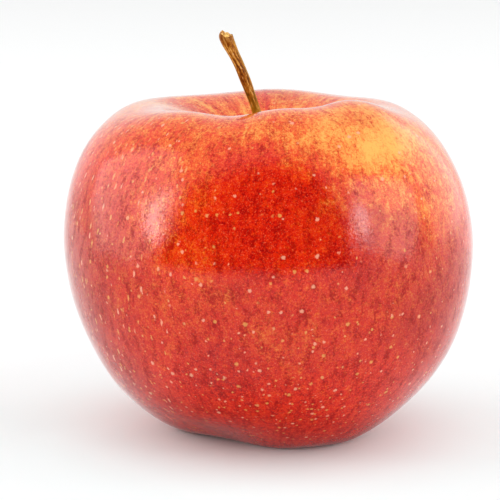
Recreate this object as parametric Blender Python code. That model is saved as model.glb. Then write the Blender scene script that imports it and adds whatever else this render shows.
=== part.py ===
"""A red apple with its stem, and the dried remains of its flower in the hollow underneath.

Metres, +Z up. The origin is on the surface that the apple stands on, under its middle.
Directions round the fruit are degrees from its front (-Y), positive towards +X.
"""

import math

import bmesh
import bpy
from mathutils import Matrix, Vector
from mathutils.geometry import interpolate_bezier

MM = 0.001
GAP = 0.3 * MM  # clearance between pieces that touch

# The fruit's outline, from the stem hollow over the crown and down to the eye
FRUIT_RADIUS = 39.35 * MM
WIDEST_HEIGHT = 37.6 * MM
CROWN_RADIUS = 20.5 * MM
CROWN_HEIGHT = 63.6 * MM
HOLLOW_DEPTH = 13.0 * MM
HOLLOW_BOTTOM_RADIUS = 1.6 * MM
HOLLOW_WALL_SLOPE = Vector((2.4 * MM, 4.5 * MM))  # from the bottom edge up the wall
HOLLOW_LIP = 6.5 * MM  # how far the crown's round reaches into the hollow
SHOULDER_REACH = 16.0 * MM
SHOULDER_DROP = 6.0 * MM
FLANK_DROP = 22.5 * MM
FOOT_REACH = 13.1 * MM
FOOT_RADIUS = 13.9 * MM
FOOT_LIFT = 2.0 * MM  # the skin's height above the ground between two feet
BASIN_LIP = 6.0 * MM
BASIN_TOP_RADIUS = 5.0 * MM
BASIN_TOP_HEIGHT = 8.5 * MM
SOCKET_DEPTH = 2.5 * MM  # the stem's socket at the bottom of the hollow
EYE_RADIUS = 2.6 * MM
EYE_DEPTH = 3.5 * MM
FRUIT_STEPS = 72
OUTLINE_STEPS = {"hollow": 12, "shoulder": 15, "flank": 16, "basin": 9}

# Lobes: direction, then sizes in millimetres
CROWN_LOBES = (  # direction, rise of the crest, push outwards of the crest, swell of the shoulder
    (-118, 0.1, 3.6, 1.8),
    (-66, 0.35, 0.3, 0.0),
    (-42, 1.25, 0.6, -1.7),
    (7, 2.6, 0.3, 0.0),
    (47, 3.3, 0.4, 0.0),
    (72, 0.4, 0.0, 0.0),
    (111, 0.6, 1.2, -0.3),
    (175, 0.6, 1.9, 1.3),
)
FOOT_LOBES = (  # direction, drop of the foot, swell of the flank, draw inwards of the foot
    (-86, 2.25, -0.7, 0.0),
    (-54, 0.4, -0.5, 0.0),
    (-35, 0.0, 0.0, 4.0),
    (-27, 1.7, -0.2, 0.0),
    (-12, 0.0, 0.0, 3.0),
    (8, 2.2, 0.1, 0.0),
    (58, 3.0, 0.8, 0.0),
    (144, 2.45, 0.2, 0.0),
    (226, 2.2, 0.4, 0.0),
)
FOOT_DRAW_OFFSET = 8.0 * MM  # the draw is felt most this far outside the foot
FOOT_DRAW_SPREAD = 10.0 * MM
CROWN_LOBE_NARROWNESS = 12
SHOULDER_LOBE_NARROWNESS = 7
FOOT_LOBE_NARROWNESS = 8
OVAL = 0.9 * MM  # how far the fruit is from round at its widest
OVAL_DIRECTION = 63
CREST_RISE_SPREAD = 12.0 * MM
CREST_PUSH_SPREAD = 9.0 * MM
FOOT_SPREAD = 12.0 * MM
SWELL_SPREAD = 13.0 * MM
SWELL_RADIUS = 33.0 * MM
SWELL_OFFSET = 19.0 * MM  # above and below the widest height
OVAL_SPREAD = 22.0 * MM

# The stem: height above its foot, lean to the left and towards the front, radius
STEM_POINTS = (
    (0.0, 0.0, 0.0, 1.25),
    (6.0, 0.3, 0.0, 1.0),
    (14.8, 2.0, 0.1, 0.92),
    (22.0, 4.9, 0.3, 0.95),
    (27.4, 7.2, 0.6, 1.08),
    (29.6, 8.1, 0.8, 1.2),
)
STEM_STEPS = 6  # between two of its points

# The dried flower
SEPAL_COUNT = 5
SEPAL_TOP_HEIGHT = 7.1 * MM
SEPAL_LENGTH = 5.4 * MM
SEPAL_WIDTH = 3.0 * MM
SEPAL_THICKNESS = 0.55 * MM
SEPAL_RING_RADIUS = 3.4 * MM
SEPAL_LEAN = 1.7 * MM  # towards the middle, half way down
SEPAL_CURL = 1.5 * MM  # the tip, back outwards
STAMEN_COUNT = 10
STAMEN_RING_RADIUS = 1.75 * MM
STAMEN_RADIUS = 0.2 * MM
STAMEN_LENGTHS = (4.6 * MM, 3.8 * MM)
STAMEN_LEAN = 0.35 * MM
STYLE_RADIUS = 0.4 * MM
STYLE_LENGTH = 5.2 * MM

SKIN = ("apple_skin", (0.55, 0.05, 0.02), 0.3)
WOOD = ("stem_wood", (0.26, 0.12, 0.02), 0.7)
DRY_LEAF = ("dry_leaf", (0.16, 0.11, 0.05), 0.85)
DRY_THREAD = ("dry_thread", (0.07, 0.04, 0.02), 0.85)


def clear_scene():
    for obj in list(bpy.data.objects):
        bpy.data.objects.remove(obj, do_unlink=True)


def material(name, colour, roughness):
    if name in bpy.data.materials:
        return bpy.data.materials[name]
    made = bpy.data.materials.new(name)
    made.use_nodes = True
    shader = made.node_tree.nodes["Principled BSDF"]
    shader.inputs["Base Color"].default_value = (*colour, 1.0)
    shader.inputs["Roughness"].default_value = roughness
    shader.inputs["Metallic"].default_value = 0.0
    return made


def object_from(name, bm, finish):
    """Closes a bmesh into a smooth object with one material."""
    bmesh.ops.recalc_face_normals(bm, faces=bm.faces)
    mesh = bpy.data.meshes.new(name)
    bm.to_mesh(mesh)
    bm.free()
    mesh.shade_smooth()
    mesh.materials.append(material(*finish))
    obj = bpy.data.objects.new(name, mesh)
    bpy.context.scene.collection.objects.link(obj)
    return obj


def fruit_outline():
    """The radius and height of the turned outline, from the socket's floor to the eye's roof."""
    hollow_bottom = Vector((HOLLOW_BOTTOM_RADIUS, CROWN_HEIGHT - HOLLOW_DEPTH))
    crest = Vector((CROWN_RADIUS, CROWN_HEIGHT))
    widest = Vector((FRUIT_RADIUS, WIDEST_HEIGHT))
    foot = Vector((FOOT_RADIUS, FOOT_LIFT))
    basin_top = Vector((EYE_RADIUS, BASIN_TOP_HEIGHT))
    stretches = {
        "hollow": (
            hollow_bottom,
            hollow_bottom + HOLLOW_WALL_SLOPE,
            crest - Vector((HOLLOW_LIP, 0)),
            crest,
        ),
        "shoulder": (
            crest,
            crest + Vector((SHOULDER_REACH, 0)),
            widest + Vector((0, SHOULDER_DROP)),
            widest,
        ),
        "flank": (
            widest,
            widest - Vector((0, FLANK_DROP)),
            foot + Vector((FOOT_REACH, 0)),
            foot,
        ),
        "basin": (
            foot,
            foot - Vector((BASIN_LIP, 0)),
            Vector((BASIN_TOP_RADIUS, BASIN_TOP_HEIGHT)),
            basin_top,
        ),
    }
    socket_floor = hollow_bottom.y - SOCKET_DEPTH
    points = [Vector((0, socket_floor)), Vector((HOLLOW_BOTTOM_RADIUS, socket_floor))]
    for name, bezier in stretches.items():
        run = interpolate_bezier(*bezier, OUTLINE_STEPS[name] + 1)
        points += run if name == "hollow" else run[1:]
    eye_roof = BASIN_TOP_HEIGHT + EYE_DEPTH
    points += [Vector((EYE_RADIUS, eye_roof)), Vector((0, eye_roof))]
    return points


def turned(points, steps):
    """A bmesh of the outline spun once round the Z axis."""
    bm = bmesh.new()
    verts = [bm.verts.new((p.x, 0, p.y)) for p in points]
    edges = [bm.edges.new(pair) for pair in zip(verts, verts[1:])]
    bmesh.ops.spin(
        bm,
        geom=verts + edges,
        axis=(0, 0, 1),
        angle=math.tau,
        steps=steps,
        use_merge=True,
    )
    bmesh.ops.remove_doubles(bm, verts=bm.verts, dist=0.01 * MM)
    return bm


def ripple(direction, lobes, column, narrowness):
    """The lobes' sizes in one column, added up in this direction."""
    total = 0.0
    for lobe in lobes:
        off = math.cos(direction - math.radians(lobe[0]))
        total += lobe[column] * MM * math.exp(narrowness * (off - 1))
    return total


def nearness(point, centre, spread):
    """1 at the centre, in the plane of radius and height, and nothing well past the spread."""
    return math.exp(-(((point - centre).length / spread) ** 2))


def lobed(radius, height, direction):
    """Where the lobes, the feet and the oval move a point of the turned outline."""
    point = Vector((radius, height))
    crest = Vector((CROWN_RADIUS, CROWN_HEIGHT))
    foot = Vector((FOOT_RADIUS, FOOT_LIFT))
    widest = Vector((FRUIT_RADIUS, WIDEST_HEIGHT))
    shoulder = Vector((SWELL_RADIUS, WIDEST_HEIGHT + SWELL_OFFSET))
    flank = Vector((SWELL_RADIUS, WIDEST_HEIGHT - SWELL_OFFSET))
    rise = ripple(direction, CROWN_LOBES, 1, CROWN_LOBE_NARROWNESS)
    push = ripple(direction, CROWN_LOBES, 2, CROWN_LOBE_NARROWNESS)
    shoulder_swell = ripple(direction, CROWN_LOBES, 3, SHOULDER_LOBE_NARROWNESS)
    drop = ripple(direction, FOOT_LOBES, 1, FOOT_LOBE_NARROWNESS)
    flank_swell = ripple(direction, FOOT_LOBES, 2, SHOULDER_LOBE_NARROWNESS)
    draw = ripple(direction, FOOT_LOBES, 3, FOOT_LOBE_NARROWNESS)
    oval = OVAL * math.cos(2 * (direction - math.radians(OVAL_DIRECTION)))
    radius += push * nearness(point, crest, CREST_PUSH_SPREAD)
    radius += shoulder_swell * nearness(point, shoulder, SWELL_SPREAD)
    radius += flank_swell * nearness(point, flank, SWELL_SPREAD)
    radius -= draw * nearness(point, foot + Vector((FOOT_DRAW_OFFSET, 0)), FOOT_DRAW_SPREAD)
    radius += oval * nearness(point, widest, OVAL_SPREAD)
    height += rise * nearness(point, crest, CREST_RISE_SPREAD)
    height -= drop * nearness(point, foot, FOOT_SPREAD)
    return radius, max(height, 0.0)


def make_fruit():
    """One solid of skin and flesh. Its feet are pressed flat where they meet the ground."""
    bm = turned(fruit_outline(), FRUIT_STEPS)
    for vert in bm.verts:
        radius = math.hypot(vert.co.x, vert.co.y)
        if radius > EYE_RADIUS + 0.01 * MM:
            direction = math.atan2(vert.co.x, -vert.co.y)
            radius, height = lobed(radius, vert.co.z, direction)
            vert.co = (radius * math.sin(direction), -radius * math.cos(direction), height)
    return object_from("fruit", bm, SKIN)


def make_stem():
    """A bent woody stalk that widens at its foot and at its broken tip."""
    foot_height = CROWN_HEIGHT - HOLLOW_DEPTH - SOCKET_DEPTH + GAP
    curve = bpy.data.curves.new("stem", "CURVE")
    curve.dimensions = "3D"
    curve.bevel_depth = 1.0 * MM
    curve.bevel_resolution = 3
    curve.use_fill_caps = True
    curve.resolution_u = STEM_STEPS
    spline = curve.splines.new("BEZIER")
    spline.bezier_points.add(len(STEM_POINTS) - 1)
    for point, (up, left, forward, radius) in zip(spline.bezier_points, STEM_POINTS):
        point.co = (-left * MM, -forward * MM, foot_height + up * MM)
        point.handle_left_type = "AUTO"
        point.handle_right_type = "AUTO"
        point.radius = radius
    obj = bpy.data.objects.new("stem", curve)
    obj.data.materials.append(material(*WOOD))
    bpy.context.scene.collection.objects.link(obj)


def hang(obj, radius, turn_degrees, height):
    """Places a piece that hangs down from z = 0 on a ring round the middle of the eye."""
    turn = Matrix.Rotation(math.radians(turn_degrees), 4, "Z")
    obj.matrix_world = turn @ Matrix.Translation((0, -radius, height))


def make_sepal(number):
    """A flat pointed leaf that leans over the eye and curls back at its tip."""
    bm = bmesh.new()
    bmesh.ops.create_uvsphere(bm, u_segments=12, v_segments=10, radius=0.5)
    for vert in bm.verts:
        along = 0.5 - vert.co.z
        taper = 1 - 0.8 * along**2
        inwards = SEPAL_LEAN * math.sin(math.pi * along / 1.3) - SEPAL_CURL * along**4
        vert.co.x *= SEPAL_WIDTH * taper
        vert.co.y = vert.co.y * SEPAL_THICKNESS + inwards
        vert.co.z = -SEPAL_LENGTH * along
    obj = object_from(f"sepal_{number}", bm, DRY_LEAF)
    hang(obj, SEPAL_RING_RADIUS, 360 / SEPAL_COUNT * (number - 0.5), SEPAL_TOP_HEIGHT)


def make_stamen(number):
    """A thin dried thread, hanging from the roof of the eye and leaning inwards."""
    length = STAMEN_LENGTHS[number % 2]
    bm = bmesh.new()
    bmesh.ops.create_cone(
        bm,
        cap_ends=True,
        segments=8,
        radius1=STAMEN_RADIUS * 0.8,
        radius2=STAMEN_RADIUS,
        depth=length,
    )
    bmesh.ops.translate(bm, verts=bm.verts, vec=(0, 0, -length / 2))
    for vert in bm.verts:
        vert.co.y += STAMEN_LEAN * -vert.co.z / length
    obj = object_from(f"stamen_{number:02d}", bm, DRY_THREAD)
    eye_roof = BASIN_TOP_HEIGHT + EYE_DEPTH
    hang(obj, STAMEN_RING_RADIUS, 360 / STAMEN_COUNT * number, eye_roof - GAP)


def make_style():
    """The withered style: a short column in the middle, thicker at its free end."""
    bm = bmesh.new()
    bmesh.ops.create_cone(
        bm,
        cap_ends=True,
        segments=10,
        radius1=STYLE_RADIUS,
        radius2=STYLE_RADIUS * 0.75,
        depth=STYLE_LENGTH,
    )
    bmesh.ops.translate(bm, verts=bm.verts, vec=(0, 0, -STYLE_LENGTH / 2))
    obj = object_from("style", bm, DRY_THREAD)
    hang(obj, 0.0, 0.0, BASIN_TOP_HEIGHT + EYE_DEPTH - GAP)


clear_scene()
make_fruit()
make_stem()
for sepal_number in range(1, SEPAL_COUNT + 1):
    make_sepal(sepal_number)
for stamen_number in range(1, STAMEN_COUNT + 1):
    make_stamen(stamen_number)
make_style()
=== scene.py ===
"""A whole red apple with its stem, standing on a pale floor in soft studio light.

Lengths are written in millimetres and made metres by `mm`. Directions round the fruit are in
degrees from its front (-Y), positive towards +X.
"""

import math

import bmesh
import bpy
from mathutils import Matrix, Vector, noise
from mathutils.geometry import interpolate_bezier


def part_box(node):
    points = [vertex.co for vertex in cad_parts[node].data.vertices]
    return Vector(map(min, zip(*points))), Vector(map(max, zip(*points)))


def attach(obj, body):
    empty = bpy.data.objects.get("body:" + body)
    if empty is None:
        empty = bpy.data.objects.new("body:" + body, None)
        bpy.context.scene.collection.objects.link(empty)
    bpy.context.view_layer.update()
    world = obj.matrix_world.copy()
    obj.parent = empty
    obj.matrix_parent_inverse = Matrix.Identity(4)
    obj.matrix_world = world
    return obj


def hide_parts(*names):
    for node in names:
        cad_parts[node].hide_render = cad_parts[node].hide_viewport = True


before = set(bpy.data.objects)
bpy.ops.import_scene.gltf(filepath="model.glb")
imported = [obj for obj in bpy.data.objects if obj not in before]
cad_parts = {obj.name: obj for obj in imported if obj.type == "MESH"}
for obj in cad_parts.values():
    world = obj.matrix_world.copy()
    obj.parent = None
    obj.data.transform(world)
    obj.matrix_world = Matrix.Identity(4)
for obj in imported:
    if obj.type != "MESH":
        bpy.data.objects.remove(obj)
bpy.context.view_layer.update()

# ---------------------------------------------------------------- The fruit
# Skin and flesh grew as one piece, so the fruit is one closed skin: turned from its outline, then
# pushed into uneven shoulders, a rolling crown and the feet, which are flat where they stand.

fruit_low, fruit_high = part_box("fruit")
fruit_width = 79.77  # in millimetres, as every length below
mm = (fruit_high.x - fruit_low.x) / fruit_width

widest = Vector((39.35, 37.6)) * mm  # radius and height, as every point of the outline
crest = Vector((20.5, 63.6)) * mm
foot = Vector((13.9, 2.0)) * mm
hollow_bottom = Vector((1.6, 50.6)) * mm
socket_floor = hollow_bottom.y - 2.5 * mm
eye_rim = Vector((2.6, 8.5)) * mm
eye_roof = eye_rim.y + 3.5 * mm
outline_curves = (  # each stretch: its two ends, their two handles, and how many steps it takes
    (hollow_bottom, Vector((4.0, 55.1)) * mm, crest - Vector((6.5, 0)) * mm, crest, 40),
    (crest, crest + Vector((16, 0)) * mm, widest + Vector((0, 6)) * mm, widest, 44),
    (widest, widest - Vector((0, 22.5)) * mm, foot + Vector((13.1, 0)) * mm, foot, 52),
    (foot, foot - Vector((6, 0)) * mm, Vector((5.0, 8.5)) * mm, eye_rim, 26),
)
skin_columns = 256
flank = Vector((33 * mm, widest.y))  # the sides swell above and below this
swell_rise = Vector((0, 19)) * mm
oval_swell = 0.9 * mm  # the fruit is widest in this direction, and narrowest across it
oval_direction = math.radians(63)
skin_waves = 0.12 * mm
wave_length = 9 * mm

crown_lobes = (  # direction, rise of the crest, push outwards of the crest, swell of the shoulder
    (-118, 0.1, 3.6, 1.8),
    (-66, 0.35, 0.3, 0.0),
    (-42, 1.25, 0.6, -1.7),
    (7, 2.6, 0.3, 0.0),
    (47, 3.3, 0.4, 0.0),
    (72, 0.4, 0.0, 0.0),
    (111, 0.6, 1.2, -0.3),
    (175, 0.6, 1.9, 1.3),
)
foot_lobes = (  # direction, drop of the foot, swell of the flank, draw inwards of the foot
    (-86, 2.25, -0.7, 0.0),
    (-54, 0.4, -0.5, 0.0),
    (-35, 0.0, 0.0, 4.0),
    (-27, 1.7, -0.2, 0.0),
    (-12, 0.0, 0.0, 3.0),
    (8, 2.2, 0.1, 0.0),
    (58, 3.0, 0.8, 0.0),
    (144, 2.45, 0.2, 0.0),
    (226, 2.2, 0.4, 0.0),
)


def outline_points():
    """The outline from the stem's socket, over the crown and down to the roof of the eye."""
    points = [Vector((0, socket_floor)), Vector((hollow_bottom.x, socket_floor))]
    for start, leaves, arrives, end, steps in outline_curves:
        run = interpolate_bezier(start, leaves, arrives, end, steps + 1)
        points += run if start == hollow_bottom else run[1:]
    return points + [Vector((eye_rim.x, eye_roof)), Vector((0, eye_roof))]


def ripple(direction, lobes, column, narrowness):
    """One column of the lobes' sizes, added up for this direction."""
    total = 0.0
    for lobe in lobes:
        total += lobe[column] * mm * math.exp(
            narrowness * (math.cos(direction - math.radians(lobe[0])) - 1)
        )
    return total


def nearness(point, centre, spread):
    """1 at the centre, in the plane of radius and height, and nothing well past the spread."""
    return math.exp(-(((point - centre).length / (spread * mm)) ** 2))


def lobed(point, direction):
    """The outline's radius and height here, once the shoulders and the feet have grown."""
    past_the_foot = foot + Vector((8 * mm, 0))
    oval = oval_swell * math.cos(2 * (direction - oval_direction))
    radius, height = point
    radius += ripple(direction, crown_lobes, 2, 12) * nearness(point, crest, 9)
    radius += ripple(direction, crown_lobes, 3, 7) * nearness(point, flank + swell_rise, 13)
    radius += ripple(direction, foot_lobes, 2, 7) * nearness(point, flank - swell_rise, 13)
    radius -= ripple(direction, foot_lobes, 3, 8) * nearness(point, past_the_foot, 10)
    radius += oval * nearness(point, widest, 22)
    height += ripple(direction, crown_lobes, 1, 12) * nearness(point, crest, 12)
    height -= ripple(direction, foot_lobes, 1, 8) * nearness(point, foot, 12)
    return radius, max(height, 0.0)


def place_on_skin(direction_degrees, radius, height):
    """The place in this direction, this far from the fruit's axis and this high."""
    direction = math.radians(direction_degrees)
    return Vector((radius * math.sin(direction), -radius * math.cos(direction), height))


def grow_fruit():
    """Spins the outline, grows the lobes, and lays a map round it: across is direction, up is
    the way from the stem. The layer from_stem keeps that way in metres for the skin's streaks."""
    bm = bmesh.new()
    from_stem = bm.verts.layers.float.new("from_stem")
    points = outline_points()
    verts = []
    run = 0.0
    for number, point in enumerate(points):
        run += (point - points[number - 1]).length if number else 0.0
        vert = bm.verts.new((point.x, 0, point.y))
        vert[from_stem] = run
        verts.append(vert)
    edges = [bm.edges.new(pair) for pair in zip(verts, verts[1:])]
    bmesh.ops.spin(
        bm, geom=verts + edges, axis=(0, 0, 1), angle=math.tau, steps=skin_columns, use_merge=True
    )
    bmesh.ops.remove_doubles(bm, verts=bm.verts, dist=0.004 * mm)
    for vert in bm.verts:
        radius = math.hypot(vert.co.x, vert.co.y)
        if radius > eye_rim.x * 1.01:
            direction = math.atan2(vert.co.x, -vert.co.y)
            radius, height = lobed(Vector((radius, vert.co.z)), direction)
            radius += skin_waves * noise.noise(vert.co / wave_length)
            vert.co = place_on_skin(math.degrees(direction), radius, height)
    bmesh.ops.recalc_face_normals(bm, faces=bm.faces)
    skin_map = bm.loops.layers.uv.new("OFBake")
    for face in bm.faces:
        middle = face.calc_center_median()
        face_across = math.atan2(middle.x, -middle.y) / math.tau
        for loop in face.loops:
            across = math.atan2(loop.vert.co.x, -loop.vert.co.y) / math.tau
            if math.hypot(loop.vert.co.x, loop.vert.co.y) < 0.01 * mm:
                across = face_across
            across += round(face_across - across)
            loop[skin_map].uv = (0.5 + across, 1 - loop.vert[from_stem] / run)
    return bm


def finished_piece(name, bm, *finishes):
    """Turns a bmesh into a smooth object with these materials."""
    mesh = bpy.data.meshes.new(name)
    bm.to_mesh(mesh)
    bm.free()
    mesh.shade_smooth()
    for finish in finishes:
        mesh.materials.append(finish)
    piece = bpy.data.objects.new(name, mesh)
    bpy.context.scene.collection.objects.link(piece)
    return piece


def new_finish(name):
    """A material with its shader, and the shader's node to set up."""
    finish = bpy.data.materials.new(name)
    finish.use_nodes = True
    return finish, finish.node_tree.nodes["Principled BSDF"]


def add_node(finish, kind, inputs=None, **settings):
    """Adds a node. An input is linked when it is given a socket, and set when it is a value."""
    made = finish.node_tree.nodes.new("ShaderNode" + kind)
    for name, value in settings.items():
        setattr(made, name, value)
    for name, value in (inputs or {}).items():
        if isinstance(value, bpy.types.NodeSocket):
            finish.node_tree.links.new(value, made.inputs[name])
        else:
            made.inputs[name].default_value = value
    return made


def sum_of(finish, operation, *values):
    """One Math node."""
    return add_node(finish, "Math", dict(enumerate(values)), operation=operation).outputs[0]


def vector_sum(finish, operation, *values):
    """One Vector Math node."""
    made = add_node(finish, "VectorMath", dict(enumerate(values)), operation=operation)
    return made.outputs[1 if operation in ("DISTANCE", "LENGTH", "DOT_PRODUCT") else 0]


def between(finish, value, low, high, at_low=0.0, at_high=1.0):
    """A smooth step of a value from one number to another."""
    inputs = {"Value": value, "From Min": low, "From Max": high}
    inputs.update({"To Min": at_low, "To Max": at_high})
    return add_node(finish, "MapRange", inputs, interpolation_type="SMOOTHSTEP").outputs[0]


def mix(finish, share, under, over):
    """Lays one colour over another, by a share from 0 to 1."""
    made = add_node(finish, "Mix", data_type="RGBA")
    for socket, value in ((made.inputs[0], share), (made.inputs[6], under), (made.inputs[7], over)):
        if isinstance(value, bpy.types.NodeSocket):
            finish.node_tree.links.new(value, socket)
        else:
            socket.default_value = value if isinstance(value, float) else (*value, 1.0)
    return made.outputs[2]


def colours_of(finish, share, stops):
    """A row of colours, each with the share that it stands at."""
    made = add_node(finish, "ValToRGB", {"Fac": share})
    elements = made.color_ramp.elements
    for number, (place, colour) in enumerate(stops):
        element = elements[number] if number < 2 else elements.new(place)
        element.position = place
        element.color = (*colour, 1.0)
    return made.outputs[0]


def speckle(finish, where, size, detail=2.0, roughness=0.5):
    """Noise with lumps of about this size, from 0 to 1."""
    inputs = {"Vector": where, "Scale": 1 / size, "Detail": detail, "Roughness": roughness}
    return add_node(finish, "TexNoise", inputs).outputs[0]


def bumpy(finish, shader, lumps, strength, depth):
    """Raises a finish by these lumps, to this depth in millimetres. Gives back the new normal."""
    inputs = {"Strength": strength, "Distance": depth * mm, "Height": lumps}
    made = add_node(finish, "Bump", inputs).outputs[0]
    finish.node_tree.links.new(made, shader.inputs["Normal"])
    return made


skin, skin_shader = new_finish("apple_skin")
on_skin = add_node(skin, "TexCoord").outputs["Object"]
from_stem = add_node(skin, "Attribute", attribute_name="from_stem").outputs["Fac"]
skin_height = add_node(skin, "SeparateXYZ", {"Vector": on_skin}).outputs["Z"]
off_axis = vector_sum(skin, "MULTIPLY", on_skin, (1, 1, 0))
outwards = vector_sum(skin, "NORMALIZE", off_axis)
round_the_fruit = vector_sum(skin, "MULTIPLY", outwards, (widest.x, widest.x, 0))


def along_skin(stretch):
    """Coordinates drawn out along the skin's streaks, which run from the stem to the eye."""
    far = sum_of(skin, "DIVIDE", from_stem, stretch)
    down_the_skin = add_node(skin, "CombineXYZ", {"Z": far}).outputs[0]
    return vector_sum(skin, "ADD", round_the_fruit, down_the_skin)


def wandering(where, size, detail, reach):
    """Coordinates that stray by up to half of the reach, in lumps of this size: millimetres."""
    inputs = {"Vector": on_skin, "Scale": 1 / (size * mm), "Detail": detail}
    stray = add_node(skin, "TexNoise", inputs).outputs["Color"]
    stray = vector_sum(skin, "SUBTRACT", stray, (0.5, 0.5, 0.5))
    stray = vector_sum(skin, "MULTIPLY", stray, Vector((reach, reach, reach)) * mm)
    return vector_sum(skin, "ADD", where, stray)


wandered = wandering(on_skin, 7, 4.0, 13)
patch_radius = 36 * mm  # how far from the fruit's axis the patches have their centres


def patch(direction, height, width, tall, amount):
    """What a cloudy patch of this half width and half height, in millimetres, adds."""
    centre = place_on_skin(direction, patch_radius, height * mm)
    away = vector_sum(skin, "SUBTRACT", wandered, centre)
    away = vector_sum(skin, "MULTIPLY", away, (1, 1, width / tall))
    away = vector_sum(skin, "LENGTH", away)
    return between(skin, away, 0.25 * width * mm, width * mm, amount, 0.0)


# How red the skin is: 0 where it stayed in the shade of a leaf, 1 where it had full sun.
blush = between(skin, from_stem, 28 * mm, 50 * mm, 0.43, 0.73)
blush = sum_of(skin, "ADD", blush, between(skin, from_stem, 7 * mm, 22 * mm, -0.34, 0.0))
for place in (  # direction, height, half width, half height, amount
    (60, 55, 34, 17, -0.31),  # the yellow cheek
    (39, 59, 14, 6, -0.20),
    (40, 52, 14, 6, 0.02),
    (28, 47, 6, 6, 0.20),
    (37, 64, 20, 8, -0.27),
    (6, 64, 15, 7, -0.25),  # orange over the front of the crown
    (13, 60, 8, 5, 0.08),
    (8, 56, 9, 5, 0.20),
    (-7, 59, 9, 5, 0.16),
    (-34, 64, 13, 6, -0.16),
    (-25, 61, 9, 4, 0.10),
    (-30, 52, 14, 14, -0.14),  # orange beside the deep red
    (-25, 36, 9, 10, -0.06),
    (-5, 49, 17, 14, 0.22),  # deep red
    (3, 40, 12, 9, 0.10),
    (20, 42, 9, 11, 0.22),
    (2, 25, 9, 9, -0.12),
    (-34, 28, 7, 6, -0.12),
    (-10, 20, 14, 9, 0.12),
    (-110, 62, 24, 10, -0.15),  # paler on the left shoulder
    (62, 66, 24, 4, 0.14),
    (178, 65, 24, 5, 0.14),  # redder along the rim at the back
    (160, 32, 22, 14, -0.24),  # and paler low down there
    (-150, 35, 36, 30, 0.10),
    (120, 32, 36, 28, 0.08),
):
    blush = sum_of(skin, "ADD", blush, patch(*place))
# Deeper red towards the bottom.
blush = sum_of(skin, "ADD", blush, between(skin, skin_height, 2 * mm, 40 * mm, 0.26, 0.0))

cloudy = speckle(skin, along_skin(1.5), 4.0 * mm, 3.0, 0.6)
mottled = speckle(skin, on_skin, 1.3 * mm, 3.0, 0.65)
fine = speckle(skin, on_skin, 0.45 * mm, 2.0, 0.6)
cells = speckle(skin, on_skin, 0.22 * mm, 1.0)
streaks = speckle(skin, along_skin(5), 0.8 * mm, 3.0, 0.6)
streaked = between(skin, from_stem, 34 * mm, 60 * mm, 0.40, 0.12)
streaks = sum_of(skin, "MULTIPLY", sum_of(skin, "SUBTRACT", streaks, 0.5), streaked)
dashes = speckle(skin, along_skin(3.5), 0.50 * mm, 2.0)
dashes = between(skin, dashes, 0.58, 0.76, 0.0, 0.35)
dashes = sum_of(skin, "MULTIPLY", dashes, between(skin, blush, 0.2, 0.8, 1.0, 0.0))
rays = speckle(skin, along_skin(12), 4.0 * mm, 3.0)
in_the_hollow = between(skin, from_stem, 22 * mm, 34 * mm, 1.1, 0.0)
rays = sum_of(skin, "MULTIPLY", sum_of(skin, "SUBTRACT", rays, 0.5), in_the_hollow)
for pattern in (streaks, dashes, rays):
    blush = sum_of(skin, "ADD", blush, pattern)
for pattern, amount in ((cloudy, 0.50), (mottled, 0.95), (fine, 0.85), (cells, 0.60)):
    centred = sum_of(skin, "SUBTRACT", pattern, 0.5)
    blush = sum_of(skin, "MULTIPLY_ADD", centred, amount, blush)

skin_colour = colours_of(skin, sum_of(skin, "MULTIPLY", blush, 0.8), (
    (0.00, (0.84, 0.41, 0.075)),
    (0.20, (0.86, 0.265, 0.040)),
    (0.36, (0.78, 0.120, 0.010)),
    (0.52, (0.74, 0.050, 0.004)),
    (0.64, (0.69, 0.023, 0.002)),
    (0.80, (0.62, 0.010, 0.002)),
    (1.00, (0.31, 0.002, 0.002)),
))

# Pale cells among the outermost ones, and dark red grains in loose clouds.
beside_the_cells = vector_sum(skin, "ADD", on_skin, (0.1, 0.2, 0.3))
flecks = between(skin, speckle(skin, beside_the_cells, 0.26 * mm, 1.0), 0.54, 0.76, 0.0, 0.42)
skin_colour = mix(skin, flecks, skin_colour, (0.92, 0.19, 0.075))
grain_clouds = speckle(skin, along_skin(2.2), 1.7 * mm, 3.0, 0.6)
grains = speckle(skin, on_skin, 0.46 * mm, 2.0, 0.8)
grains = sum_of(skin, "MULTIPLY_ADD", grain_clouds, 0.9, grains)
in_the_red = between(skin, blush, 0.22, 0.72, 0.18, 1.0)
grains = sum_of(skin, "MULTIPLY", between(skin, grains, 0.90, 1.18), in_the_red)
skin_colour = mix(skin, sum_of(skin, "MULTIPLY", grains, 0.72), skin_colour, (0.28, 0.002, 0.001))

# Here the skin is darker: most on the left flank, and in bands over the front, the right side
# and the shoulders at the back.
dull = patch(-74, 31, 29, 26, 0.42)
for place in (  # direction, height, half width, half height, amount
    (-4, 28, 46, 16, 0.15),
    (20, 44, 11, 13, 0.12),
    (50, 36, 27, 22, 0.24),
    (34, 44, 12, 10, 0.12),
    (60, 28, 22, 22, 0.18),
    (28, 48, 8, 6, 0.16),
    (14, 54, 9, 6, 0.10),
    (15, 36, 4, 5, 0.25),
    (-11, 38, 7, 7, 0.12),
    (-38, 38, 10, 8, 0.10),
    (-48, 47, 17, 14, 0.12),
    (-50, 13, 16, 10, 0.20),
    (-122, 63, 17, 6, 0.22),
    (60, 67, 26, 6, 0.12),
    (178, 65, 26, 6, 0.32),
    (170, 15, 30, 16, 0.2),
):
    dull = sum_of(skin, "ADD", dull, patch(*place))
skin_colour = mix(skin, dull, skin_colour, (0.10, 0.004, 0.006))


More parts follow.
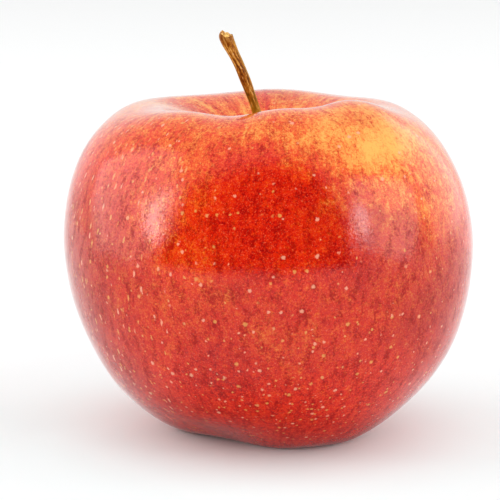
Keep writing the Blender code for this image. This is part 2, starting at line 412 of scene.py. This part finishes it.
def breathing_spots(where, spacing, size, share):
    """Small pores, one in each cell of this spacing, for this share of the cells: how much of the
    pore there is here, and a random number for its tint."""
    inputs = {"Vector": where, "Scale": 1 / (spacing * mm)}
    pores = add_node(skin, "TexVoronoi", inputs, voronoi_dimensions="3D", feature="F1")
    chance = add_node(skin, "SeparateXYZ", {"Vector": pores.outputs["Color"]}).outputs
    reach = sum_of(skin, "MULTIPLY", pores.outputs["Distance"], spacing)
    reach = sum_of(skin, "DIVIDE", reach, sum_of(skin, "MULTIPLY_ADD", chance[1], 0.6, 0.6))
    spot = between(skin, reach, size * 0.55, size * 1.25, 1.0, 0.0)
    kept = between(skin, chance[0], sum_of(skin, "SUBTRACT", share, 0.02), share, 1.0, 0.0)
    return sum_of(skin, "MULTIPLY", spot, kept), chance[2]


# The pores crowd low down, and on the left flank, where growth has drawn them out.
ragged_skin = wandering(on_skin, 0.5, 1.0, 0.45)
ragged_flank = wandering(along_skin(2.2), 0.5, 1.0, 0.45)
low_share = between(skin, skin_height, 6 * mm, 36 * mm, 0.92, 0.08)
on_flank = add_node(skin, "SeparateXYZ", {"Vector": outwards}).outputs["X"]
from_axis = vector_sum(skin, "LENGTH", off_axis)
flank_share = between(skin, on_flank, -0.88, -0.34, 0.80, 0.0)
flank_share = sum_of(skin, "MULTIPLY", flank_share, between(skin, from_axis, 13 * mm, 19 * mm))
skin_bumps = speckle(skin, on_skin, 0.65 * mm, 3.0, 0.65)
for where, spacing, size, share in (  # spacing and size are in millimetres
    (ragged_skin, 2.0, 0.36, 0.62),
    (ragged_skin, 1.35, 0.25, low_share),
    (ragged_flank, 1.2, 0.28, flank_share),
):
    spot, tint = breathing_spots(where, spacing, size, share)
    tan = mix(skin, between(skin, tint, 0.35, 0.65), (0.87, 0.40, 0.25), (0.74, 0.33, 0.08))
    skin_colour = mix(skin, sum_of(skin, "MULTIPLY", spot, 0.7), skin_colour, tan)
    skin_bumps = sum_of(skin, "MULTIPLY_ADD", spot, 0.25, skin_bumps)

skin.node_tree.links.new(skin_colour, skin_shader.inputs["Base Color"])
skin_shader.inputs["Roughness"].default_value = 0.08
skin_shader.inputs["IOR"].default_value = 1.45
skin_shader.inputs["Specular IOR Level"].default_value = 0.17
skin_bump = bumpy(skin, skin_shader, skin_bumps, 0.8, 0.04)

# Its wax is thinner over the dark grains.
wax = sum_of(skin, "MULTIPLY_ADD", grains, -0.46, 0.62)
skin.node_tree.links.new(wax, skin_shader.inputs["Coat Weight"])
skin.node_tree.links.new(skin_bump, skin_shader.inputs["Coat Normal"])
skin_shader.inputs["Coat Roughness"].default_value = 0.07
skin_shader.inputs["Coat IOR"].default_value = 1.45

fruit = finished_piece("fruit_skin", grow_fruit(), skin)
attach(fruit, "root")
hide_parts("fruit")

# ---------------------------------------------------------------- The stem
# The woody stalk that the fruit hung from: grooved along its length, wider at its foot, and
# torn off at its tip, where the pale fibres show. It grows out of the socket in the hollow.

stem_route = (  # height over its foot, lean to the left, lean to the front, radius: millimetres
    (0.0, 0.0, 0.0, 1.20),
    (5.2, 0.45, 0.0, 1.00),
    (10.4, 1.15, 0.0, 0.88),
    (15.2, 2.28, 0.1, 0.86),
    (18.3, 3.38, 0.15, 0.94),
    (21.3, 4.51, 0.2, 1.02),
    (24.1, 5.68, 0.35, 0.98),
    (26.4, 6.78, 0.5, 1.06),
    (29.0, 7.95, 0.7, 1.30),
    (29.45, 7.98, 0.75, 1.18),
    (29.8, 7.92, 0.8, 0.88),
)
stem_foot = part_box("stem")[0].z
stem_sides = 40
stem_rows = 110
tear_starts = 0.86  # as a share of the stem's length
tip_rings = (0.93, 0.80, 0.62, 0.42, 0.22)  # the rings that close the tip, beside its edge


def stem_at(share):
    """The stem's middle and radius at a share of its length, on a smooth line through its route."""
    place = share * (len(stem_route) - 1)
    number = min(int(place), len(stem_route) - 2)
    rows = [stem_route[max(0, min(len(stem_route) - 1, number + step))] for step in (-1, 0, 1, 2)]
    part = place - number
    values = []
    for before, start, end, after in zip(*rows):
        leaves = start + (end - before) / 6
        arrives = end - (after - start) / 6
        keep = 1 - part
        value = keep**3 * start + 3 * keep**2 * part * leaves
        values.append(value + 3 * keep * part**2 * arrives + part**3 * end)
    up, left, forward, radius = values
    return Vector((-left * mm, -forward * mm, stem_foot + up * mm)), radius * mm


def shape_ring(verts, turns, on_stalk, share, size):
    """Lays a ring round the stalk, grooved and knotted, ragged above the tear, and writes down
    where it is on the stalk."""
    middle, radius = stem_at(share)
    ahead = stem_at(min(share + 0.01, 1.0))[0] - stem_at(max(share - 0.01, 0.0))[0]
    upright = Vector((0, 0, 1)).rotation_difference(ahead)
    torn = max(0.0, (share - tear_starts) / (1 - tear_starts))
    up = middle.z - stem_foot
    for vert, turn in zip(verts, turns):
        round_it = Vector((math.cos(turn), math.sin(turn), 0))
        groove = 0.09 * noise.noise(Vector((round_it.x * 2.2, round_it.y * 2.2, up / (12 * mm))))
        ridge = 0.05 * noise.noise(Vector((round_it.x * 6, round_it.y * 6, up / (6 * mm))))
        knot = 0.05 * noise.noise(round_it * 1.5 + Vector((0, 0, up / (2.2 * mm))))
        splinter = 0.16 * torn * noise.noise(round_it * 5 + Vector((0, 0, torn)))
        reach = radius * (1 + groove + ridge + knot + splinter) * size
        vert.co = middle + upright @ (round_it * reach)
        vert[on_stalk] = (round_it.x * mm, round_it.y * mm, up)


def grow_stem():
    """Draws a ring of the stalk upwards row by row, then inwards over the torn tip."""
    bm = bmesh.new()
    on_stalk = bm.verts.layers.float_vector.new("on_stalk")
    bmesh.ops.create_circle(bm, cap_ends=False, segments=stem_sides, radius=1.0)
    edges = list(bm.edges)
    turns = [math.atan2(vert.co.y, vert.co.x) for vert in bm.verts]
    shape_ring(list(bm.verts), turns, on_stalk, 0.0, 1.0)
    bmesh.ops.contextual_create(bm, geom=edges)
    steps = [(row / stem_rows, 1.0) for row in range(1, stem_rows + 1)]
    steps += [(1.0, size) for size in tip_rings]
    for share, size in steps:
        grown = bmesh.ops.extrude_edge_only(bm, edges=edges)["geom"]
        edges = [part for part in grown if isinstance(part, bmesh.types.BMEdge)]
        ring = [part for part in grown if isinstance(part, bmesh.types.BMVert)]
        shape_ring(ring, turns, on_stalk, share, size)
        if share > tear_starts:
            torn = (share - tear_starts) / (1 - tear_starts)
            for vert in ring:
                fibre = noise.noise(vert.co / (0.8 * mm)) + 0.5 * noise.noise(vert.co / (0.3 * mm))
                vert.co.z += mm * torn * (0.17 * fibre + 0.10 * (1 - size))
            for face in {face for vert in ring for face in vert.link_faces}:
                face.material_index = 1
    for face in bmesh.ops.contextual_create(bm, geom=edges)["faces"]:
        face.material_index = 1
    bmesh.ops.recalc_face_normals(bm, faces=bm.faces)
    return bm


bark, bark_shader = new_finish("stem_bark")
on_stalk = add_node(bark, "Attribute", attribute_name="on_stalk").outputs["Vector"]
stalk_axes = add_node(bark, "SeparateXYZ", {"Vector": on_stalk}).outputs
fibre_place = vector_sum(bark, "MULTIPLY", on_stalk, (1, 1, 0.10))
fibres = speckle(bark, fibre_place, 0.22 * mm, 3.0, 0.65)
furrows = speckle(bark, vector_sum(bark, "MULTIPLY", on_stalk, (1, 1, 0.05)), 0.75 * mm, 2.0)
scars = speckle(bark, vector_sum(bark, "MULTIPLY", on_stalk, (1, 1, 0.45)), 0.42 * mm, 3.0, 0.7)
woody = sum_of(bark, "MULTIPLY_ADD", furrows, 0.8, fibres)
woody = sum_of(bark, "MULTIPLY_ADD", scars, 0.8, woody)
bark_and_painted_sheen = colours_of(bark, between(bark, woody, 1.02, 1.62), (
    (0.10, (0.08, 0.016, 0.001)),
    (0.40, (0.23, 0.060, 0.002)),
    (0.64, (0.39, 0.140, 0.006)),
    (0.95, (0.68, 0.39, 0.090)),
))
# On its two sides that face left and right, the bark is painted paler and yellower: painted sheen
# along the stalk's edges.
side = sum_of(bark, "ABSOLUTE", stalk_axes["X"])
painted_edge_sheen = between(bark, side, 0.66 * mm, 0.98 * mm, 0.0, 0.62)
bark_and_painted_sheen = mix(bark, painted_edge_sheen, bark_and_painted_sheen, (0.60, 0.31, 0.025))
green = between(bark, stalk_axes["Z"], 11 * mm, 21 * mm, 0.72, 0.0)
bark_and_painted_sheen = mix(bark, green, bark_and_painted_sheen, (0.35, 0.205, 0.002))
under_tear = between(bark, stalk_axes["Z"], 27.6 * mm, 28.6 * mm, 0.0, 0.55)
bark_and_painted_sheen = mix(bark, under_tear, bark_and_painted_sheen, (0.20, 0.05, 0.002))
lichen = speckle(bark, vector_sum(bark, "MULTIPLY", on_stalk, (1, 1, 0.5)), 0.6 * mm, 1.0)
lichen = between(bark, lichen, 0.70, 0.80, 0.0, 0.55)
bark_and_painted_sheen = mix(bark, lichen, bark_and_painted_sheen, (0.74, 0.55, 0.30))
bark.node_tree.links.new(bark_and_painted_sheen, bark_shader.inputs["Base Color"])
bark_shader.inputs["Roughness"].default_value = 0.5
bark_shader.inputs["IOR"].default_value = 1.2
bumpy(bark, bark_shader, woody, 0.8, 0.16)

torn_wood, torn_shader = new_finish("torn_stem_wood")
on_tear = add_node(torn_wood, "TexCoord").outputs["Object"]
tear_grain = speckle(torn_wood, on_tear, 0.55 * mm, 3.0, 0.6)
fresh_wood = between(torn_wood, tear_grain, 0.36, 0.62)
tear_colour = mix(torn_wood, fresh_wood, (0.30, 0.075, 0.004), (1.0, 0.60, 0.14))
torn_wood.node_tree.links.new(tear_colour, torn_shader.inputs["Base Color"])
torn_shader.inputs["Roughness"].default_value = 0.7
bumpy(torn_wood, torn_shader, tear_grain, 0.8, 0.15)

stem = finished_piece("stem_stalk", grow_stem(), bark, torn_wood)
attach(stem, "root")
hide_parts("stem")

# ---------------------------------------------------------------- The sepals
# Five small leaves that shut over the eye, left from the flower: dry, grey-brown and felted,
# leaning together over the eye and curled back at their tips.

sepal_count = 5
sepal_top = 7.1 * mm
sepal_length = 5.4 * mm
sepal_width = 3.0 * mm
sepal_thickness = 0.30 * mm
sepal_ring = 3.4 * mm


def grow_sepal(number):
    """Cuts a leaf from a sheet, folds it along its rib, crumples it and thickens it."""
    bm = bmesh.new()
    bmesh.ops.create_grid(bm, x_segments=16, y_segments=30, size=0.5)
    turned = Matrix.Rotation(math.tau * (number - 0.5) / sepal_count, 3, "Z")
    for vert in bm.verts:
        across = 2 * vert.co.x
        along = 0.5 - vert.co.y
        crumple = Vector((across * 1.5, along * 3, 9.0 * number))
        half_width = sepal_width / 2 * (1 - 0.93 * along**1.7) * (1 + 0.25 * noise.noise(crumple))
        inwards = 1.7 * mm * math.sin(math.pi * along / 1.3) - (1.3 + 0.25 * number) * mm * along**4
        fold = 0.35 * mm * across**2 * (1 - 0.6 * along)
        rib = 0.16 * mm * math.exp(-((across / 0.13) ** 2)) * (1 - along)
        wave = 0.22 * mm * noise.noise(crumple * 1.7) * (0.4 + along)
        twist = 0.30 * mm * across * noise.noise(Vector((along * 2, 4.0 * number, 0))) * along
        out = sepal_ring - inwards - fold + rib + wave + twist
        vert.co = turned @ Vector((across * half_width, -out, sepal_top - sepal_length * along))
    bmesh.ops.recalc_face_normals(bm, faces=bm.faces)
    bmesh.ops.solidify(bm, geom=bm.faces[:], thickness=sepal_thickness)
    bmesh.ops.recalc_face_normals(bm, faces=bm.faces)
    return bm


dry_leaf, dry_leaf_shader = new_finish("dry_sepal")
on_sepal = add_node(dry_leaf, "TexCoord").outputs["Object"]
along_sepal = vector_sum(dry_leaf, "MULTIPLY", on_sepal, (1, 1, 0.2))
veins = speckle(dry_leaf, along_sepal, 0.22 * mm, 3.0, 0.6)
blotches = speckle(dry_leaf, on_sepal, 1.1 * mm, 3.0, 0.6)
felt = speckle(dry_leaf, on_sepal, 0.12 * mm, 2.0, 0.7)
still_green = between(dry_leaf, blotches, 0.35, 0.65)
sepal_colour = mix(dry_leaf, still_green, (0.085, 0.045, 0.020), (0.19, 0.15, 0.065))
pale_veins = between(dry_leaf, veins, 0.40, 0.66, 0.0, 0.7)
sepal_colour = mix(dry_leaf, pale_veins, sepal_colour, (0.30, 0.22, 0.12))
grey_felt = between(dry_leaf, felt, 0.55, 0.75, 0.0, 0.5)
sepal_colour = mix(dry_leaf, grey_felt, sepal_colour, (0.52, 0.47, 0.36))
sepal_height = add_node(dry_leaf, "SeparateXYZ", {"Vector": on_sepal}).outputs["Z"]
burnt_tip = between(dry_leaf, sepal_height, 1.8 * mm, 4.0 * mm, 0.7, 0.0)
sepal_colour = mix(dry_leaf, burnt_tip, sepal_colour, (0.05, 0.022, 0.010))
dry_leaf.node_tree.links.new(sepal_colour, dry_leaf_shader.inputs["Base Color"])
dry_leaf_shader.inputs["Roughness"].default_value = 0.85
felted_veins = sum_of(dry_leaf, "MULTIPLY_ADD", felt, 0.4, veins)
bumpy(dry_leaf, dry_leaf_shader, felted_veins, 0.9, 0.12)

for number in range(1, sepal_count + 1):
    sepal = finished_piece(f"sepal_leaf_{number}", grow_sepal(number), dry_leaf)
    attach(sepal, "root")
    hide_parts(f"sepal_{number}")

# ---------------------------------------------------------------- The stamens
# Ten withered threads inside the sepals, hanging from the roof of the eye, each with the dried
# halves of its anther at its free end.

stamen_count = 10
stamen_ring = 1.75 * mm
stamen_lengths = (4.6 * mm, 3.8 * mm)
stamen_root = eye_roof - 0.3 * mm
anther_reach = 0.3 * mm  # past the end of the thread
thread_steps = 14


def grow_thread(bm, route, radii, sides=12):
    """Draws a closed thread along a route of points, with a radius at each."""
    made = bmesh.ops.create_circle(bm, cap_ends=False, segments=sides, radius=1.0)["verts"]
    turns = [math.atan2(vert.co.y, vert.co.x) for vert in made]
    edges = [edge for edge in bm.edges if edge.verts[0] in made and edge.verts[1] in made]
    ring = made
    for number, (middle, radius) in enumerate(zip(route, radii)):
        if number == 1:
            bmesh.ops.contextual_create(bm, geom=edges)
        if number:
            grown = bmesh.ops.extrude_edge_only(bm, edges=edges)["geom"]
            edges = [part for part in grown if isinstance(part, bmesh.types.BMEdge)]
            ring = [part for part in grown if isinstance(part, bmesh.types.BMVert)]
        ahead = route[min(number + 1, len(route) - 1)] - route[max(number - 1, 0)]
        upright = Vector((0, 0, 1)).rotation_difference(ahead)
        for vert, turn in zip(ring, turns):
            rough = 1 + 0.18 * noise.noise(Vector((math.cos(turn), math.sin(turn), number * 0.4)))
            round_it = Vector((math.cos(turn), math.sin(turn), 0))
            vert.co = middle + upright @ round_it * (radius * rough)
    bmesh.ops.contextual_create(bm, geom=edges)


def add_anther(bm, middle, ahead, out):
    """Puts the two shrunken halves of an anther on a thread's end."""
    upright = Vector((0, 0, 1)).rotation_difference(ahead)
    across = ahead.cross(out).normalized()
    for side in (-1, 1):
        half = bmesh.ops.create_uvsphere(bm, u_segments=12, v_segments=8, radius=1.0)["verts"]
        for vert in half:
            shrunk = 1 + 0.25 * noise.noise(vert.co * 1.8 + middle / mm)
            size = Vector((0.16 * shrunk, 0.16 * shrunk, 0.34)) * mm
            vert.co = middle + across * (side * 0.11 * mm) + upright @ (vert.co * size)
        for face in {face for vert in half for face in vert.link_faces}:
            face.material_index = 1


def grow_stamen(number):
    """One thread with its anther, a little bent in its own way."""
    bm = bmesh.new()
    length = stamen_lengths[number % 2]
    direction = 360 / stamen_count * number
    route = []
    for step in range(thread_steps + 1):
        along = step / thread_steps
        lean = 0.35 * mm * along + 0.10 * mm * noise.noise(Vector((along * 3, 2.3 * number, 0)))
        sway = 4 * noise.noise(Vector((along * 3, 0, 1.7 * number)))
        height = stamen_root - (length - anther_reach) * along
        route.append(place_on_skin(direction + sway, stamen_ring - lean, height))
    radii = [(0.17 - 0.06 * step / thread_steps) * mm for step in range(thread_steps + 1)]
    grow_thread(bm, route, radii)
    add_anther(bm, route[-1], route[-1] - route[-2], place_on_skin(direction, 1, 0))
    bmesh.ops.recalc_face_normals(bm, faces=bm.faces)
    return bm


def dry_finish(name, dark, pale, grain):
    """Shrivelled plant skin of two colours, wrinkled along its length."""
    finish, shader = new_finish(name)
    place = add_node(finish, "TexCoord").outputs["Object"]
    lengthways = vector_sum(finish, "MULTIPLY", place, (1, 1, 0.35))
    wrinkles = speckle(finish, lengthways, grain * mm, 3.0, 0.65)
    colour = mix(finish, between(finish, wrinkles, 0.36, 0.66), dark, pale)
    finish.node_tree.links.new(colour, shader.inputs["Base Color"])
    shader.inputs["Roughness"].default_value = 0.8
    bumpy(finish, shader, wrinkles, 0.8, 0.06)
    return finish


dry_thread = dry_finish("dry_thread", (0.035, 0.018, 0.010), (0.17, 0.10, 0.045), 0.16)
dry_anther = dry_finish("dry_anther", (0.012, 0.008, 0.006), (0.20, 0.13, 0.05), 0.14)
for number in range(1, stamen_count + 1):
    piece_name = f"stamen_thread_{number:02d}"
    stamen = finished_piece(piece_name, grow_stamen(number), dry_thread, dry_anther)
    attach(stamen, "root")
    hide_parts(f"stamen_{number:02d}")

# ---------------------------------------------------------------- The style
# The withered column in the middle of the flower, which parts at its free end into five short
# arms with a knob each.

style_length = 5.2 * mm
arms_part_at = 0.72  # as a share of the style's length
arm_count = 5
arm_turn = 20  # degrees that an arm winds round the column
column_steps = 10
arm_steps = 8


def grow_style():
    """A column that narrows downwards, and five arms that leave it near its end."""
    bm = bmesh.new()
    parts_at = stamen_root - style_length * arms_part_at
    ends_at = stamen_root - style_length
    column_end = parts_at - 0.2 * mm
    column = []
    for step in range(column_steps + 1):
        height = stamen_root + (column_end - stamen_root) * step / column_steps
        column.append(Vector((0, 0, height)))
    column_radii = [(0.40 - 0.012 * step) * mm for step in range(column_steps + 1)]
    grow_thread(bm, column, column_radii, sides=16)
    for arm in range(arm_count):
        route = []
        for step in range(arm_steps + 1):
            along = step / arm_steps
            reach = (0.14 + 0.46 * along**1.4) * mm
            height = parts_at + (ends_at - parts_at) * along
            direction = 360 / arm_count * arm + arm_turn * along
            route.append(place_on_skin(direction, reach, height))
        arm_radii = [0.12 * mm] * 6 + [0.15 * mm] * 2 + [0.09 * mm]  # the knob is at its end
        grow_thread(bm, route, arm_radii)
    bmesh.ops.recalc_face_normals(bm, faces=bm.faces)
    return bm


dry_style = dry_finish("dry_style", (0.045, 0.022, 0.010), (0.24, 0.15, 0.06), 0.2)
style = finished_piece("style_column", grow_style(), dry_style)
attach(style, "root")
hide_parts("style")

# ---------------------------------------------------------------- The studio
# A white paper tent in even light. Walls and lamps light the fruit and stay out of its wax. What
# the wax mirrors is set apart: the white tent, panes of light at both sides, and two painted
# reflections on sheets that only the wax sees, a dark card in front and the fruit's painted
# shadow on the floor. Near the fruit the paper itself is painted with light and shade.

floor_reach = 4.0  # metres from the fruit to each edge

paper, paper_shader = new_finish("white_paper_painted_shading")
# Near the fruit the paper is painted paler in green and blue, most inside the fruit's shadow:
# painted light that cancels the red the fruit throws on the floor.
from_fruit = vector_sum(paper, "LENGTH", add_node(paper, "TexCoord").outputs["Object"])
painted_light_in_the_shadow = between(paper, from_fruit, 40 * mm, 72 * mm, 1.0, 0.0)
painted_shadow_tint = mix(paper, painted_light_in_the_shadow, (0.855, 0.925, 0.93), (0.865, 0.995, 0.995))
painted_tint_share = between(paper, from_fruit, 35 * mm, 130 * mm, 1.0, 0.0)
paper_and_painted_shading = mix(paper, painted_tint_share, (0.87, 0.875, 0.875), painted_shadow_tint)
# Right under the fruit the paper is painted dark grey: painted shade.
painted_shade_under_the_fruit = between(paper, from_fruit, 8 * mm, 19 * mm, 0.6, 0.0)
paper_and_painted_shading = mix(paper, painted_shade_under_the_fruit, paper_and_painted_shading, (0.20, 0.20, 0.20))
paper.node_tree.links.new(paper_and_painted_shading, paper_shader.inputs["Base Color"])
paper_shader.inputs["Roughness"].default_value = 0.9

bm = bmesh.new()
bmesh.ops.create_grid(bm, x_segments=1, y_segments=1, size=floor_reach)
floor = finished_piece("floor", bm, paper)


def glowing_finish(name):
    """A finish that only glows, its shader to colour, and its object coordinates."""
    finish, shader = new_finish(name)
    shader.inputs["Base Color"].default_value = (0.0, 0.0, 0.0, 1.0)
    shader.inputs["Specular IOR Level"].default_value = 0.0
    shader.inputs["Emission Strength"].default_value = 1.0
    return finish, shader, add_node(finish, "TexCoord").outputs["Object"]


def show_in_wax_only(name, bm, finish):
    """Stands a sheet in the studio that neither the camera nor the lights see."""
    sheet = finished_piece(name, bm, finish)
    sheet.visible_camera = False
    sheet.visible_diffuse = False
    sheet.visible_shadow = False
    sheet.visible_transmission = False


card_left = -1.50  # the card's measures are in metres
card_right = 0.65
card_slant = 0.35  # what its upper right corner is cut back by
card_foot = 0.001
card_top = 1.75
card_distance = 0.7

# The card is a painted reflection: only the wax sees it, dark low down and glowing white higher up,
# for the tent's open front where the camera stands.
painted_reflection_card, card_shader, on_card = glowing_finish("painted_reflection_card")
card_height = add_node(painted_reflection_card, "SeparateXYZ", {"Vector": on_card}).outputs["Z"]
card_fade = between(painted_reflection_card, card_height, 0.75, 1.7)
painted_reflection_glow = mix(painted_reflection_card, card_fade, (0.0, 0.0, 0.0), (1.0, 1.0, 1.0))
painted_reflection_card.node_tree.links.new(painted_reflection_glow, card_shader.inputs["Emission Color"])

bm = bmesh.new()
bmesh.ops.create_grid(bm, x_segments=1, y_segments=1, size=0.5)
for vert in bm.verts:
    across, up = vert.co.x + 0.5, vert.co.y + 0.5
    card_width = card_right - card_left - card_slant * up
    vert.co.x = card_left + card_width * across
    vert.co.y = -card_distance
    vert.co.z = card_foot + (card_top - card_foot) * up
show_in_wax_only("high_card_painted_reflection", bm, painted_reflection_card)

shade_middle = Vector((0, -12, 0)) * mm
shade_radius = 46 * mm
shade_height = 0.2 * mm

# A disc that only the wax sees, glowing dark red-grey near the fruit and pale further out: the
# fruit's shadow on the floor, painted into its reflection.
low_shade, shade_shader, on_shade = glowing_finish("low_shade")
from_middle = vector_sum(low_shade, "DISTANCE", on_shade, shade_middle)
shade_fade = between(low_shade, from_middle, 14.5 * mm, 43 * mm)
shade_glow = mix(low_shade, shade_fade, (0.24, 0.14, 0.14), (0.90, 0.88, 0.88))
low_shade.node_tree.links.new(shade_glow, shade_shader.inputs["Emission Color"])

bm = bmesh.new()
bmesh.ops.create_circle(bm, cap_ends=True, segments=64, radius=shade_radius)
bmesh.ops.translate(bm, verts=bm.verts, vec=shade_middle + Vector((0, 0, shade_height)))
show_in_wax_only("floor_shade", bm, low_shade)

lamp_distance = 1.0  # metres
fruit_middle = Vector((0, 0, 35 * mm))


def lamp(name, direction, elevation, width, tall, brightness, roll=None):
    """A soft lamp or pane that faces the fruit. One with a roll shines only in the wax, and one
    without a roll only lights."""
    light = bpy.data.lights.new(name, "AREA")
    light.shape = "RECTANGLE"
    light.size = width
    light.size_y = tall
    light.energy = brightness * math.pi * width * tall
    made = bpy.data.objects.new(name, light)
    out = lamp_distance * math.cos(math.radians(elevation))
    up = lamp_distance * math.sin(math.radians(elevation))
    made.location = place_on_skin(direction, out, fruit_middle.z + up)
    made.rotation_euler = (made.location - fruit_middle).to_track_quat("Z", "Y").to_euler()
    made.rotation_euler.rotate_axis("Z", math.radians(roll or 0))
    made.visible_glossy = roll is not None
    made.visible_diffuse = roll is None
    bpy.context.scene.collection.objects.link(made)


lamp("left_wall", -102, 17, 0.83, 0.87, 1.75)
lamp("right_wall", 102, 21, 0.83, 0.87, 1.3)
lamp("left_lamp", -74, 20, 0.16, 0.36, 8.0)
lamp("right_lamp", 54, 21, 0.46, 0.66, 2.7)
lamp("left_pane", -93, 16.5, 0.83, 0.87, 1.6, roll=38)
lamp("left_pane_middle", -71, 22, 0.27, 0.42, 1.5, roll=30)
lamp("left_pane_heart", -73.5, 19.5, 0.14, 0.32, 5.5, roll=24)
lamp("right_pane", 68, 18, 0.76, 0.65, 2.2, roll=-24)
lamp("right_pane_heart", 50, 19, 0.15, 0.25, 6.0, roll=-20)
lamp("right_side_pane", 124, 12, 0.83, 0.87, 0.8, roll=0)

tent_light = 0.93
tent_in_the_wax = 1.0
tent = bpy.data.worlds.new("white_tent")
tent.use_nodes = True
tent_shader = tent.node_tree.nodes["Background"]
tent_shader.inputs["Color"].default_value = (1.0, 1.0, 1.0, 1.0)
light_path = tent.node_tree.nodes.new("ShaderNodeLightPath")
strength = tent.node_tree.nodes.new("ShaderNodeMapRange")
strength.inputs["To Min"].default_value = tent_light
strength.inputs["To Max"].default_value = tent_in_the_wax
tent.node_tree.links.new(light_path.outputs["Is Glossy Ray"], strength.inputs["Value"])
tent.node_tree.links.new(strength.outputs[0], tent_shader.inputs["Strength"])
bpy.context.scene.world = tent
bpy.context.scene.view_settings.view_transform = "Standard"

camera_data = bpy.data.cameras.new("camera")
camera_data.sensor_width = 36
camera_data.lens = 165.4
camera = bpy.data.objects.new("camera", camera_data)
camera.location = (0, -440.2 * mm, 126.6 * mm)
camera_aim = Vector((-3.4, 0.6, 35.5)) * mm
camera.rotation_euler = (camera.location - camera_aim).to_track_quat("Z", "Y").to_euler()
bpy.context.scene.collection.objects.link(camera)
bpy.context.scene.camera = camera
